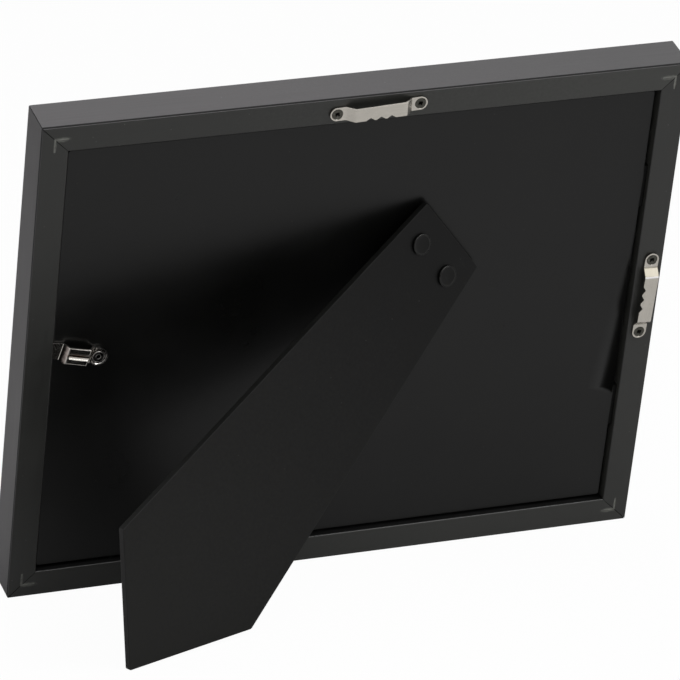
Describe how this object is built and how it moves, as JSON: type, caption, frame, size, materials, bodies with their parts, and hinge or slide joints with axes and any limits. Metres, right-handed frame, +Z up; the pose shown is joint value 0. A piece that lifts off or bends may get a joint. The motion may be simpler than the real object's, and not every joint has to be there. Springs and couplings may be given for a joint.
{
  "type": "photo frame",
  "caption": "Black desk photo frame with mitred moulding, recessed back, diagonal folding easel strut, turn catch and sawtooth hangers for landscape or portrait.",
  "frame": {"origin": "on the table, under the middle of the box round the standing frame and its opened strut", "axes": "+X along the frame's width, to the right as seen from the front; +Y from the front to the back; +Z up"},
  "size_m": [0.28, 0.1214, 0.2249],
  "materials": {
    "rail_foil": "black fine-grained foil over a wood core, satin",
    "nail_steel": "dull, scuffed with black",
    "glass": "clear and flat",
    "insert_paper": "matt",
    "board_black": "black painted hardboard, matt",
    "strut_black": "black painted hardboard, matt",
    "black_steel": "black, satin",
    "nickel_steel": "nickel-plated, bright",
    "screw_black": "blackened"
  },
  "bodies": {
    "frame": {"rail_top": "rail_foil", "rail_bottom": "rail_foil", "rail_left": "rail_foil", "rail_right": "rail_foil", "v_nail_top_left": "nail_steel", "v_nail_top_right": "nail_steel", "v_nail_bottom_left": "nail_steel", "v_nail_bottom_right": "nail_steel", "glass_pane": "glass", "picture_insert": "insert_paper", "backing_board": "board_black", "hinge_leaf_board": "black_steel", "hinge_pin": "black_steel", "board_rivet_left": "black_steel", "board_rivet_right": "black_steel", "catch_rivet": "nickel_steel", "hanger_top": "nickel_steel", "hanger_side": "nickel_steel", "hanger_top_screw_left": "screw_black", "hanger_top_screw_right": "screw_black", "hanger_side_screw_upper": "screw_black", "hanger_side_screw_lower": "screw_black"},
    "strut": {"easel_strut": "strut_black", "hinge_leaf_strut": "black_steel", "strut_rivet_left": "black_steel", "strut_rivet_right": "black_steel"},
    "catch": {"turn_catch": "nickel_steel"}
  },
  "joints": [
    {"name": "strut_fold", "type": "hinge", "parent": "frame", "child": "strut", "pos_m": [-0.0359, 0.00082, 0.14645], "axis": [-0.6074, -0.2275, -0.7611], "range_deg": [0, 25]},
    {"name": "catch_turn", "type": "hinge", "parent": "frame", "child": "catch", "pos_m": [0.1084, -0.01113, 0.11224], "axis": [0, 0.9581, -0.2864], "continuous": true}
  ]
}
